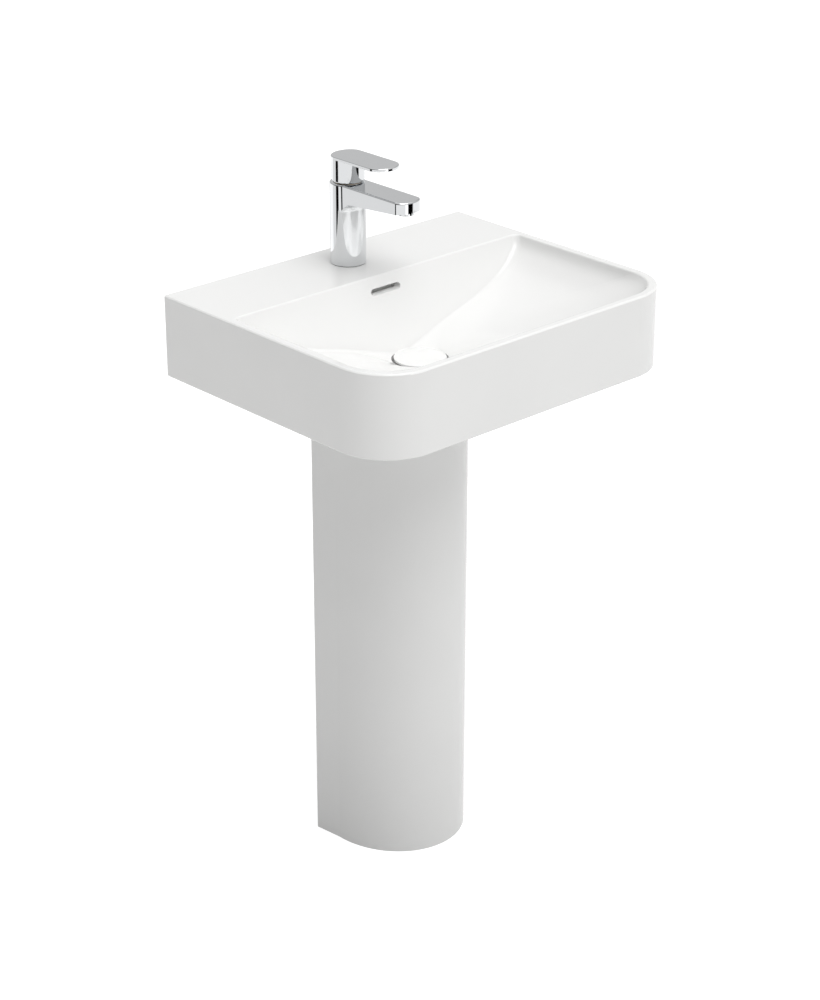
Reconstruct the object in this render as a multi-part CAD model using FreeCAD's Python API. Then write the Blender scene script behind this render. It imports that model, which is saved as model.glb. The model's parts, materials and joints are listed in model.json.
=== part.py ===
import FreeCAD, Part
import functools
import math
import os

os.makedirs("parts", exist_ok=True)

V = FreeCAD.Vector

# Frame: origin on the floor below the middle of the basin, -Y is the front, the wall is at +Y.
# All sizes are in millimetres.

# ---- overall sizes
BASIN_WIDTH = 550.0
BASIN_DEPTH = 440.0
RIM_HEIGHT = 860.0            # floor to basin rim
APRON_HEIGHT = 117.0          # straight skirt below the rim
FRONT_CORNER_R = 78.0
BACK_CORNER_R = 3.0

# ---- basin
APRON_WALL = 12.0
RIM_WIDTH = 12.5
SHELL = 11.0                  # bowl thickness
DECK_DEPTH = 135.0            # wall to the back edge of the bowl
DECK_THICKNESS = 14.0
BOWL_FLOOR_LIFT = 14.0        # bowl floor above the bottom edge of the apron
BOWL_CORNER_R = 10.0          # upright corners where sides meet the back wall
EDGE_R = 3.0                  # glazed edges
WASTE_TO_WALL = 213.0
RECESS_R = 40.0               # round recess that holds the waste cap
RECESS_DEPTH = 13.5
WASTE_HOLE_R = 23.0
BOSS_WALL = 15.0              # basin boss around the waste hole
BOSS_DEPTH = 40.5
OVERFLOW_WIDTH = 54.0
OVERFLOW_HEIGHT = 9.0
OVERFLOW_DROP = 20.0          # rim to the middle of the overflow slot
DUCT_GAP = 11.0
DUCT_WALL = 6.0
WALL_HOLE_SPACING = 280.0
WALL_HOLE_R = 7.0
WALL_HOLE_DROP = 85.0

# ---- pedestal
PEDESTAL_HALF = 104.5
PEDESTAL_BACK_HALF = 110.0
PEDESTAL_NOSE = 116.0         # depth of the half-elliptic front
PEDESTAL_CHEEK = 44.0         # depth of the straight cheeks behind it
PEDESTAL_TO_WALL = 108.0
PEDESTAL_WALL = 12.0
PEDESTAL_LIP = 22.0
BEDDING = 1.5
FLOOR_HOLE_SPACING = 140.0
FLOOR_HOLE_R = 4.5
LUG_THICKNESS = 14.0

# ---- tap
TAP_TO_WALL = 65.0
COLUMN_R = 25.2
COLUMN_HEIGHT = 118.0         # deck to the flat top of the spout
TAP_HOLE_R = 17.5
TAP_PAD_STEP = 6.8            # thick pad under the deck, beyond the tap column
TAP_PAD = 8.0
GASKET = 1.0
SPOUT_REACH = 118.0           # tap axis to the aerator axis
SPOUT_HALF = 21.8
SPOUT_NOSE = 14.0
SPOUT_TIP = 15.5              # aerator axis to the tip
SPOUT_ROOT_THICKNESS = 25.0
SPOUT_TIP_THICKNESS = 16.0
SPOUT_ROOT_R = 13.0
SPOUT_EDGE_R = 2.2
WATERWAY_R = 4.0
INLET_R = 4.5
INLET_DEPTH = 14.0
INLET_X = 7.5
INLET_Y = -4.0
STUD_R = 4.0
STUD_Y = 10.0
STUD_LENGTH = 65.0
AERATOR_R = 12.5
AERATOR_DROP = 3.5            # ring below the spout

# ---- lever
LEVER_LIFT = 22.0             # degrees from closed to full flow
LEVER_HALF = 24.6
LEVER_FRONT = 92.5            # tap axis to the tip
LEVER_BACK = 20.5             # tap axis to the heel
LEVER_NOSE = 21.5
LEVER_HEEL = 19.5
LEVER_THICKNESS = 4.6
LEVER_TOP = 38.2              # above the flat top of the spout
LEVER_GAP = 2.0               # lever neck above the spout
NECK_WALL = 4.2
NECK_CEILING = 16.0           # above the spout

# ---- cartridge, heights above its chamber floor
CHAMBER_DEPTH = 24.0
CHAMBER_R = 17.5
HOUSING_WALL = 2.8            # chamber wall to the ceramic discs
DISC_MARGIN = 2.9             # fixed disc beyond the moving disc
CARRIER_GAP = 0.3
CARRIER_STEP = 2.8
PIVOT = 17.0
STEM_X = 4.0
STEM_Y = 4.25
FOOT_R = 1.7
FOOT_DROP = 6.9
PIN_R = 1.5

# ---- waste
FLANGE_LAP = 8.5              # flange beyond the waste hole
FLANGE = 2.5
TOP_SEAL = 0.6
WASTE_PLAY = 2.05             # waste thread inside the waste hole
WASTE_WALL = 3.45
WASTE_TAIL = 48.0             # threaded tail below the basin boss
CAP_GAP = 3.5                 # cap edge to the wall of its recess
CAP_EDGE = 3.0
CAP_CROWN = 4.6
CAP_SEAL = 1.4
CLICK_TRAVEL = 8.2
ROD_R = 4.0

# ---- trap
TRAP_R = 34.0
TRAP_WALL = 3.0
DIP_R = 15.0
PIPE_R = 16.0
PIPE_WALL = 2.0
SPIGOT_STEP = 1.0             # narrower end of the outlet pipe, inside its nut
OUTLET_DROP = 45.0            # waste tail to the outlet axis

# ---- fits
RUN = 0.05                    # radial clearance of a running fit
PART_GAP = 0.1                # radial clearance between screwed or seated pieces
MOVE_GAP = 0.35               # free gap beside a moving piece

# ---- levels and positions that follow from the sizes above
WALL_Y = BASIN_DEPTH / 2
HALF_WIDTH = BASIN_WIDTH / 2
APRON_Z = RIM_HEIGHT - APRON_HEIGHT
DECK_Y = WALL_Y - DECK_DEPTH
DECK_UNDER_Z = RIM_HEIGHT - DECK_THICKNESS
WASTE_Y = WALL_Y - WASTE_TO_WALL
BOWL_DEPTH = APRON_HEIGHT - BOWL_FLOOR_LIFT
FLOOR_Z = RIM_HEIGHT - BOWL_DEPTH
BACK_LEAN = (DECK_Y - WASTE_Y - 0.92 * RECESS_R) / BOWL_DEPTH
SEAT_Z = FLOOR_Z - RECESS_DEPTH
BOSS_Z = SEAT_Z - BOSS_DEPTH
BOSS_R = WASTE_HOLE_R + BOSS_WALL
TAP_PAD_R = COLUMN_R + TAP_PAD_STEP
DISC_R = CHAMBER_R - HOUSING_WALL
MOVING_DISC_R = DISC_R - DISC_MARGIN
CARRIER_R = DISC_R - CARRIER_GAP
CARRIER_NECK_R = CARRIER_R - CARRIER_STEP
FLANGE_R = WASTE_HOLE_R + FLANGE_LAP
WASTE_THREAD_R = WASTE_HOLE_R - WASTE_PLAY
WASTE_BORE_R = WASTE_THREAD_R - WASTE_WALL
CAP_R = RECESS_R - CAP_GAP
SPIGOT_R = PIPE_R - SPIGOT_STEP
TAP_Y = WALL_Y - TAP_TO_WALL
TAP_BASE_Z = RIM_HEIGHT + GASKET
SPOUT_Z = RIM_HEIGHT + COLUMN_HEIGHT
AERATOR_Y = TAP_Y - SPOUT_REACH
CHAMBER_Z = SPOUT_Z - CHAMBER_DEPTH
PIVOT_Z = CHAMBER_Z + PIVOT
PEDESTAL_TOP = APRON_Z - BEDDING
PEDESTAL_BACK_Y = WALL_Y - PEDESTAL_TO_WALL
PEDESTAL_MID_Y = PEDESTAL_BACK_Y - PEDESTAL_CHEEK
FLANGE_Z = SEAT_Z + TOP_SEAL
FLANGE_TOP = FLANGE_Z + FLANGE
CAP_Z = FLANGE_TOP + CAP_SEAL + CLICK_TRAVEL + 0.2
TAIL_Z = BOSS_Z - WASTE_TAIL
OUTLET_Z = TAIL_Z - OUTLET_DROP

# Side of the bowl: (share of the depth, share of the spread from drain recess to rim).
BOWL_PROFILE = (
    (-0.03, 1.006), (0.0, 1.0), (0.12, 0.978), (0.24, 0.925), (0.36, 0.85), (0.48, 0.735),
    (0.60, 0.575), (0.70, 0.395), (0.79, 0.23), (0.89, 0.10), (1.0, 0.0),
)


# ------------------------------------------------------------------ shape helpers

def box(x0, x1, y0, y1, z0, z1):
    return Part.makeBox(x1 - x0, y1 - y0, z1 - z0, V(x0, y0, z0))


def post(radius, z0, z1, x=0.0, y=0.0):
    return Part.makeCylinder(radius, z1 - z0, V(x, y, z0))


def bar_x(radius, x0, x1, y, z):
    return Part.makeCylinder(radius, x1 - x0, V(x0, y, z), V(1, 0, 0))


def bar_y(radius, y0, y1, x, z):
    return Part.makeCylinder(radius, y1 - y0, V(x, y0, z), V(0, 1, 0))


def ring(outer, inner, z0, z1, x=0.0, y=0.0):
    return post(outer, z0, z1, x, y).cut(post(inner, z0 - 1, z1 + 1, x, y))


def ring_y(outer, inner, y0, y1, x, z):
    return bar_y(outer, y0, y1, x, z).cut(bar_y(inner, y0 - 1, y1 + 1, x, z))


def prism(wire, height):
    return Part.Face(wire).extrude(V(0, 0, height))


def turned(profile, y):
    """Solid of revolution about the upright axis at (0, y), from (radius, z) points."""
    points = [V(r, y, z) for r, z in profile]
    face = Part.Face(Part.makePolygon(points + points[:1]))
    return face.revolve(V(0, y, 0), V(0, 0, 1), 360)


def side_plate(profile, half_width):
    """Solid between X = -half_width and +half_width, from (y, z) points."""
    points = [V(-half_width, y, z) for y, z in profile]
    return Part.Face(Part.makePolygon(points + points[:1])).extrude(V(2 * half_width, 0, 0))


def hex_nut(across_flats, bore, z0, z1, x, y):
    reach = across_flats / math.sqrt(3)
    corners = [V(x + reach * math.cos(math.radians(60 * i)),
                 y + reach * math.sin(math.radians(60 * i)), z0) for i in range(7)]
    chamfer = turned(((0, z0), (reach - 0.8, z0), (reach + 0.1, z0 + 1.2), (reach + 0.1, z1 - 1.2),
                      (reach - 0.8, z1), (0, z1)), y).translated(V(x, 0, 0))
    body = prism(Part.makePolygon(corners), z1 - z0).common(chamfer)
    return body.cut(post(bore, z0 - 1, z1 + 1, x, y))


def outline(half, front, back, r_front, r_back, z):
    """Closed plan wire with two front and two back corner radii."""
    def corner(x, y, r, sx, sy):
        knee = r * (1 - math.sqrt(0.5))
        return V(x - sx * r, y, z), V(x - sx * knee, y - sy * knee, z), V(x, y - sy * r, z)

    b_in, b_mid, b_out = corner(half, back, r_back, 1, 1)
    f_in, f_mid, f_out = corner(half, front, r_front, 1, -1)

    def left(p):
        return V(-p.x, p.y, p.z)

    return Part.Wire([
        Part.makeLine(left(b_in), b_in), Part.Arc(b_in, b_mid, b_out).toShape(),
        Part.makeLine(b_out, f_out), Part.Arc(f_out, f_mid, f_in).toShape(),
        Part.makeLine(f_in, left(f_in)), Part.Arc(left(f_in), left(f_mid), left(f_out)).toShape(),
        Part.makeLine(left(f_out), left(b_out)),
        Part.Arc(left(b_out), left(b_mid), left(b_in)).toShape(),
    ])


def half_ellipse(half, reach, y, z, side):
    """Edge from (-half, y) to (half, y) that bulges by reach towards side (-1 front, 1 back)."""
    centre = V(0, y, z)
    if reach > half:
        curve = Part.Ellipse(V(0, y + reach, z), V(-half, y, z), centre)
    else:
        curve = Part.Ellipse(V(half, y, z), V(0, y + reach, z), centre)
    ends = (V(-half, y, z), V(half, y, z)) if side < 0 else (V(half, y, z), V(-half, y, z))
    first, last = (curve.parameter(p) for p in ends)
    if last < first + 1e-6:
        last += 2 * math.pi
    return curve.toShape(first, last)


def oblong(half, front, nose, back, heel, z):
    """Plan wire with straight sides and a half ellipse at the front and at the back."""
    return Part.Wire(Part.__sortEdges__([
        half_ellipse(half, nose, front + nose, z, -1),
        Part.makeLine(V(half, front + nose, z), V(half, back - heel, z)),
        half_ellipse(half, heel, back - heel, z, 1),
        Part.makeLine(V(-half, back - heel, z), V(-half, front + nose, z)),
    ]))


def level_edges(shape, z, keep=None):
    """Edges that lie flat at height z."""
    found = []
    for edge in shape.Edges:
        limits = edge.BoundBox
        if abs(limits.ZMin - z) < 1e-3 and abs(limits.ZMax - z) < 1e-3:
            if keep is None or keep(limits):
                found.append(edge)
    return found


# ------------------------------------------------------------------ basin

def bowl_section(depth, spread, grow, drop):
    """Plan wire of the bowl at one share of its depth, grown outwards and dropped."""
    half = RECESS_R + spread * (HALF_WIDTH - RIM_WIDTH - RECESS_R)
    front = WASTE_Y - RECESS_R - spread * (WASTE_Y + WALL_Y - RIM_WIDTH - RECESS_R)
    back = DECK_Y - BACK_LEAN * depth * BOWL_DEPTH
    deep = max(depth, 0.0)
    r_front = half * (0.25 + 0.72 * deep ** 1.2)
    r_back = BOWL_CORNER_R + (0.9 * RECESS_R - BOWL_CORNER_R) * max(0.0, (depth - 0.8) / 0.2) ** 2
    z = RIM_HEIGHT - depth * BOWL_DEPTH - drop
    return outline(half + grow, front - grow, back + grow, r_front + grow, r_back + grow, z)


def bowl_solid(grow, drop):
    return Part.makeLoft([bowl_section(d, s, grow, drop) for d, s in BOWL_PROFILE], True, False)


def u_plan(inset, z, reach_back=0.0):
    """Pedestal plan, inset from its outer face; reach_back moves its open back edge."""
    slope = (PEDESTAL_BACK_HALF - PEDESTAL_HALF) / PEDESTAL_CHEEK
    back = PEDESTAL_BACK_Y + reach_back
    half = PEDESTAL_HALF - inset
    back_half = half + slope * (PEDESTAL_CHEEK + reach_back)
    return Part.Wire(Part.__sortEdges__([
        half_ellipse(half, PEDESTAL_NOSE - inset, PEDESTAL_MID_Y, z, -1),
        Part.makeLine(V(half, PEDESTAL_MID_Y, z), V(back_half, back, z)),
        Part.makeLine(V(back_half, back, z), V(-back_half, back, z)),
        Part.makeLine(V(-back_half, back, z), V(-half, PEDESTAL_MID_Y, z)),
    ]))


def u_wall(z0, z1, wall, reach_back=0.0, inset=0.0):
    outer = prism(u_plan(inset, z0, reach_back), z1 - z0)
    inner = prism(u_plan(inset + wall, z0 - 1, reach_back + 2), z1 - z0 + 2)
    return outer.cut(inner)


def back_wall_y(z):
    """Hidden face of the bowl's back wall, at height z."""
    return DECK_Y - BACK_LEAN * (RIM_HEIGHT - z) + SHELL * math.hypot(1.0, BACK_LEAN)


def duct(extra, z0, z1, half_width):
    """Sloping overflow duct behind the bowl, extra thicker than its channel on both faces."""
    return side_plate([
        (back_wall_y(z1) - extra, z1), (back_wall_y(z1) + DUCT_GAP + extra, z1),
        (back_wall_y(z0) + DUCT_GAP + extra, z0), (back_wall_y(z0) - extra, z0),
    ], half_width)


def bowl_shell(top):
    """The bowl with its wall, filled solid, up to height top."""
    depth, spread = BOWL_PROFILE[0]
    neck = bowl_section(depth, spread, 0.68 * SHELL, SHELL)
    return bowl_solid(0.68 * SHELL, SHELL).fuse(prism(neck, top - neck.BoundBox.ZMin))


def under_bowl(top):
    """Rib that meets the pedestal, seat round the waste, waste boss and overflow duct."""
    rib = u_wall(APRON_Z, top, PEDESTAL_WALL - 2, -16, 1)
    return rib.multiFuse([
        post(RECESS_R + SHELL - 1, APRON_Z, FLOOR_Z + 1, 0, WASTE_Y),
        turned(((0, BOSS_Z), (BOSS_R, BOSS_Z), (BOSS_R, APRON_Z - 8), (BOSS_R + 3, APRON_Z),
                (BOSS_R + 3, FLOOR_Z), (0, FLOOR_Z)), WASTE_Y),
        duct(DUCT_WALL, BOSS_Z + 1, top, OVERFLOW_WIDTH / 2 + 1 + DUCT_WALL),
    ])


@functools.lru_cache(maxsize=None)
def basin_casting():
    """The whole casting; its three pieces below are cut from it and meet without a gap."""
    body = prism(outline(HALF_WIDTH, -WALL_Y, WALL_Y, FRONT_CORNER_R, BACK_CORNER_R, APRON_Z),
                 APRON_HEIGHT)
    body = body.makeFillet(EDGE_R, level_edges(body, RIM_HEIGHT))
    body = body.makeFillet(2.0, level_edges(body, APRON_Z))
    hollow = prism(outline(HALF_WIDTH - APRON_WALL, -WALL_Y + APRON_WALL, WALL_Y - APRON_WALL,
                           FRONT_CORNER_R - APRON_WALL, EDGE_R, APRON_Z - 1),
                   APRON_HEIGHT - DECK_THICKNESS + 1)
    body = body.cut(hollow)

    duct_half = OVERFLOW_WIDTH / 2 + 1.0
    body = body.multiFuse([
        bowl_solid(0.68 * SHELL, SHELL),
        under_bowl(DECK_UNDER_Z + 1),
        post(TAP_PAD_R, DECK_UNDER_Z - TAP_PAD, DECK_UNDER_Z + 1, 0, TAP_Y),
    ])

    slot_z = RIM_HEIGHT - OVERFLOW_DROP
    slot_y = back_wall_y(slot_z)
    slot_r = OVERFLOW_HEIGHT / 2
    slot_x = OVERFLOW_WIDTH / 2 - slot_r
    channel_z = BOSS_Z + 9
    removed = [
        bowl_solid(0.0, 0.0),
        turned(((0, SEAT_Z), (FLANGE_R + 1.5, SEAT_Z), (CAP_R + 2, SEAT_Z + 4.5),
                (RECESS_R, FLOOR_Z - 2), (RECESS_R, FLOOR_Z + 0.5), (0, FLOOR_Z + 0.5)), WASTE_Y),
        post(WASTE_HOLE_R, BOSS_Z - 1, SEAT_Z + 1, 0, WASTE_Y),
        duct(0.0, channel_z, DECK_UNDER_Z, duct_half),
        box(-12, 12, WASTE_Y + 15, back_wall_y(channel_z) + 4, channel_z, channel_z + 14),
        box(-slot_x, slot_x, slot_y - 30, slot_y + 4, slot_z - slot_r, slot_z + slot_r),
        post(TAP_HOLE_R, DECK_UNDER_Z - TAP_PAD - 1, RIM_HEIGHT + 1, 0, TAP_Y),
    ]
    for side in (-1, 1):
        removed.append(bar_y(slot_r, slot_y - 30, slot_y + 4, side * slot_x, slot_z))
        removed.append(bar_y(WALL_HOLE_R, WALL_Y - APRON_WALL - 2, WALL_Y + 1,
                             side * WALL_HOLE_SPACING / 2, RIM_HEIGHT - WALL_HOLE_DROP))
    for tool in removed:
        body = body.cut(tool)

    # Round the glazed edge between the rim and the bowl, then the lip of the cap recess.
    edge = HALF_WIDTH - RIM_WIDTH + 1
    rim = level_edges(body, RIM_HEIGHT, lambda b: abs(b.XMin) < edge and abs(b.XMax) < edge
                      and b.YMax < DECK_Y + 1 and b.YMin > -WALL_Y + RIM_WIDTH - 1)
    body = body.makeFillet(EDGE_R, rim)
    return body.removeSplitter()


def basin():
    """Apron, rim and tap deck."""
    body = basin_casting().cut(bowl_shell(RIM_HEIGHT + 1))
    return body.cut(under_bowl(DECK_UNDER_Z))


def basin_bowl():
    return basin_casting().common(bowl_shell(RIM_HEIGHT + 1))


def basin_underside():
    body = basin_casting().cut(bowl_shell(RIM_HEIGHT + 1))
    return body.common(under_bowl(DECK_UNDER_Z))


# ------------------------------------------------------------------ pedestal

def pedestal():
    body = u_wall(0, PEDESTAL_TOP, PEDESTAL_WALL)
    for side in (-1, 1):
        outer = side * (PEDESTAL_BACK_HALF - PEDESTAL_WALL / 2)
        inner = side * (PEDESTAL_BACK_HALF - PEDESTAL_LIP)
        lip = box(min(outer, inner), max(outer, inner),
                  PEDESTAL_BACK_Y - PEDESTAL_WALL, PEDESTAL_BACK_Y, 0, PEDESTAL_TOP)
        hole_x = side * FLOOR_HOLE_SPACING / 2
        root = side * (PEDESTAL_HALF - PEDESTAL_WALL / 2)
        tip = hole_x - side * 12
        lug = box(min(root, tip), max(root, tip), PEDESTAL_MID_Y - 20, PEDESTAL_MID_Y + 14,
                  0, LUG_THICKNESS)
        body = body.fuse([lip, lug])
        body = body.cut(post(FLOOR_HOLE_R, -1, LUG_THICKNESS + 1, hole_x, PEDESTAL_MID_Y))
    return body.removeSplitter()


def pedestal_bedding():
    return u_wall(PEDESTAL_TOP, APRON_Z, PEDESTAL_WALL - 4, -18, 2)


# ------------------------------------------------------------------ tap body and its fixing

def tap_body():
    tip_y = AERATOR_Y - SPOUT_TIP
    tap_top = SPOUT_Z
    spout = prism(oblong(SPOUT_HALF, tip_y, SPOUT_NOSE, TAP_Y + 12, 12, tap_top - 40), 40)
    root_z = tap_top - SPOUT_ROOT_THICKNESS
    tip_z = tap_top - SPOUT_TIP_THICKNESS
    root_y = TAP_Y - COLUMN_R
    fall = (tip_z - root_z) / (root_y - tip_y)
    spout = spout.common(side_plate([
        (tip_y - 1, tip_z + fall), (tip_y - 1, tap_top + 1), (TAP_Y + 13, tap_top + 1),
        (TAP_Y + 13, root_z - fall * (TAP_Y + 13 - root_y)),
    ], SPOUT_HALF + 1))
    body = post(COLUMN_R, TAP_BASE_Z, tap_top, 0, TAP_Y).fuse(spout).removeSplitter()

    # One soft blend where the spout grows out of the column, round both sides and underneath.
    def spout_root(edge):
        b = edge.BoundBox
        beside = (b.XLength < 0.1 and b.YLength < 0.1 and b.ZLength > 10
                  and root_y < b.YMin < TAP_Y and abs(b.XMin) < COLUMN_R)
        under = (root_y - 2 < b.YMin and b.YMax < TAP_Y and b.ZMax < tip_z
                 and b.XLength > SPOUT_HALF)
        return beside or under

    body = body.makeFillet(SPOUT_ROOT_R, [e for e in body.Edges if spout_root(e)])
    body = body.makeFillet(SPOUT_EDGE_R, level_edges(body, tap_top))
    body = body.fuse(post(TAP_HOLE_R - 0.6, TAP_BASE_Z - 10, TAP_BASE_Z + 1, 0, TAP_Y))

    inlet_z = TAP_BASE_Z - 10
    port = V(0, TAP_Y - 8, CHAMBER_Z - 6)
    bend = V(0, TAP_Y - COLUMN_R - 19, tap_top - 9.5)
    way = bend.sub(port)
    seat_z = spout_under_z(AERATOR_Y) + 0.5
    removed = [
        post(CHAMBER_R, CHAMBER_Z, tap_top + 1, 0, TAP_Y),
        post(CHAMBER_R + 2, tap_top - 6, tap_top + 1, 0, TAP_Y),
        post(WATERWAY_R, port.z, CHAMBER_Z + 1, 0, port.y),
        Part.makeCylinder(WATERWAY_R, way.Length, port, way),
        bar_y(WATERWAY_R, AERATOR_Y, bend.y + 1, 0, bend.z),
        Part.makeSphere(WATERWAY_R, bend), Part.makeSphere(WATERWAY_R, port),
        post(AERATOR_R + PART_GAP, seat_z - 8, seat_z, 0, AERATOR_Y),
        post(AERATOR_R - 2, seat_z - 1, seat_z + 6, 0, AERATOR_Y),
        post(WATERWAY_R + 2, seat_z, bend.z, 0, AERATOR_Y),
        post(STUD_R, inlet_z - 1, inlet_z + INLET_DEPTH, 0, TAP_Y + STUD_Y),
    ]
    for side in (-1, 1):
        removed.append(post(INLET_R, inlet_z - 1, inlet_z + INLET_DEPTH,
                            side * INLET_X, TAP_Y + INLET_Y))
        removed.append(post(INLET_R - 1.5, inlet_z + INLET_DEPTH - 1, CHAMBER_Z + 1,
                            side * INLET_X, TAP_Y + INLET_Y + 6))
        removed.append(box(side * INLET_X - 2, side * INLET_X + 2, TAP_Y + INLET_Y,
                           TAP_Y + INLET_Y + 6, inlet_z + INLET_DEPTH - 3, inlet_z + INLET_DEPTH))
    for tool in removed:
        body = body.cut(tool)
    return body


def spout_under_z(y):
    """Height of the spout's sloping underside at y."""
    root_y = TAP_Y - COLUMN_R
    tip_y = AERATOR_Y - SPOUT_TIP
    share = (root_y - y) / (root_y - tip_y)
    return SPOUT_Z - SPOUT_ROOT_THICKNESS + share * (SPOUT_ROOT_THICKNESS - SPOUT_TIP_THICKNESS)


def tap_base_gasket():
    return ring(COLUMN_R - 0.8, TAP_HOLE_R, RIM_HEIGHT, TAP_BASE_Z, 0, TAP_Y)


def tap_stud():
    top = TAP_BASE_Z - 10 + INLET_DEPTH - 1
    return post(STUD_R - PART_GAP, top - STUD_LENGTH, top, 0, TAP_Y + STUD_Y)


def clamp_shoe(z0, z1):
    """Horseshoe plate round the back of the tap hole, bored for the stud."""
    shoe = post(TAP_PAD_R - 3, z0, z1, 0, TAP_Y)
    shoe = shoe.cut(box(-14, 14, TAP_Y - TAP_PAD_R, TAP_Y + 3, z0 - 1, z1 + 1))
    return shoe.cut(post(STUD_R + PART_GAP, z0 - 1, z1 + 1, 0, TAP_Y + STUD_Y))


def tap_clamp_rubber():
    pad_z = DECK_UNDER_Z - TAP_PAD
    return clamp_shoe(pad_z - 3, pad_z)


def tap_clamp_plate():
    pad_z = DECK_UNDER_Z - TAP_PAD
    return clamp_shoe(pad_z - 5.5, pad_z - 3)


def tap_stud_nut():
    top = DECK_UNDER_Z - TAP_PAD - 5.5
    return hex_nut(13, STUD_R, top - 6.5, top, 0, TAP_Y + STUD_Y)


# ------------------------------------------------------------------ cartridge

def valve_ports(z0, z1):
    """Two supply ports behind and the mixed-water port in front."""
    ports = [post(INLET_R - 1.5, z0, z1, side * INLET_X, TAP_Y + INLET_Y + 6) for side in (-1, 1)]
    ports.append(post(WATERWAY_R, z0, z1, 0, TAP_Y - 8))
    return ports


def cartridge_base_seal():
    body = post(CHAMBER_R - 1.5, CHAMBER_Z, CHAMBER_Z + 1, 0, TAP_Y)
    return body.cut(valve_ports(CHAMBER_Z - 1, CHAMBER_Z + 2))


def cartridge_housing():
    z = CHAMBER_Z
    inner = DISC_R + PART_GAP
    body = turned((
        (0, z + 1), (CHAMBER_R - 2 * PART_GAP, z + 1), (CHAMBER_R - 2 * PART_GAP, z + 20),
        (CHAMBER_R - 2, z + 20), (CHAMBER_R - 2, z + 23), (CARRIER_NECK_R + RUN, z + 23),
        (CARRIER_NECK_R + RUN, z + 20), (inner, z + 20), (inner, z + 3.5), (0, z + 3.5),
    ), TAP_Y)
    return body.cut(valve_ports(z, z + 4))


def fixed_disc():
    z = CHAMBER_Z + 3.5
    return post(DISC_R, z, z + 3, 0, TAP_Y).cut(valve_ports(z - 1, z + 4))


def moving_disc():
    z = CHAMBER_Z + 6.5 + RUN
    body = post(MOVING_DISC_R, z, z + 4.5, 0, TAP_Y)
    socket = FOOT_R + MOVE_GAP
    body = body.cut(box(-3 - MOVE_GAP, 3 + MOVE_GAP, TAP_Y - socket, TAP_Y + socket,
                        z + 1.5, z + 5))
    return body.cut(box(-6.5, 6.5, TAP_Y - 9, TAP_Y - 5, z - 1, z + 1.5))


def spindle_carrier():
    z = CHAMBER_Z + 11.0 + RUN + MOVE_GAP
    flange_top = CHAMBER_Z + 19.5
    body = post(CARRIER_R, z, flange_top, 0, TAP_Y)
    body = body.fuse(post(CARRIER_NECK_R, flange_top - 1, SPOUT_Z + 4, 0, TAP_Y))
    swing = math.tan(math.radians(LEVER_LIFT))
    thick = STEM_Y / math.cos(math.radians(LEVER_LIFT))
    above = SPOUT_Z + 4 - PIVOT_Z
    below = PIVOT_Z - z
    slot = box(-STEM_X - MOVE_GAP, STEM_X + MOVE_GAP, TAP_Y - thick - swing * below - MOVE_GAP,
               TAP_Y + thick + swing * above + MOVE_GAP, z - 1, SPOUT_Z + 5)
    body = body.cut(slot)
    return body.cut(bar_x(PIN_R, -11, 11, TAP_Y, PIVOT_Z))


def spindle_pin():
    return bar_x(PIN_R, -10.5, 10.5, TAP_Y, PIVOT_Z)


def spindle():
    foot_z = PIVOT_Z - FOOT_DROP
    top = SPOUT_Z + NECK_CEILING + 12
    body = box(-STEM_X, STEM_X, TAP_Y - STEM_Y, TAP_Y + STEM_Y, PIVOT_Z - 4.2, top)
    body = body.fuse(box(-3, 3, TAP_Y - 1.3, TAP_Y + 1.3, foot_z, PIVOT_Z))
    body = body.fuse(bar_x(FOOT_R, -3, 3, TAP_Y, foot_z))
    return body.cut(bar_x(PIN_R + RUN, -STEM_X - 1, STEM_X + 1, TAP_Y, PIVOT_Z))


def cartridge_nut():
    thread_r = CHAMBER_R + 2 - PART_GAP
    body = ring(thread_r, CHAMBER_R - 2 + PART_GAP, CHAMBER_Z + 20, SPOUT_Z + 0.5, 0, TAP_Y)
    for i in range(4):
        notch = box(-1.5, 1.5, TAP_Y + CHAMBER_R - 1, TAP_Y + CHAMBER_R + 3,
                    SPOUT_Z - 1.5, SPOUT_Z + 1)
        notch.rotate(V(0, TAP_Y, 0), V(0, 0, 1), 45 + 90 * i)
        body = body.cut(notch)
    return body


def trim_ring():
    z = SPOUT_Z + 0.5
    inner = CARRIER_NECK_R + 0.6
    return turned((
        (inner, z), (CHAMBER_R + 3, z), (CHAMBER_R + 3, z + 0.7), (CHAMBER_R - 0.5, z + 1.0),
        (CHAMBER_R - 2.5, z + 3.0), (inner, z + 3.4),
    ), TAP_Y)


# ------------------------------------------------------------------ lever

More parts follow.
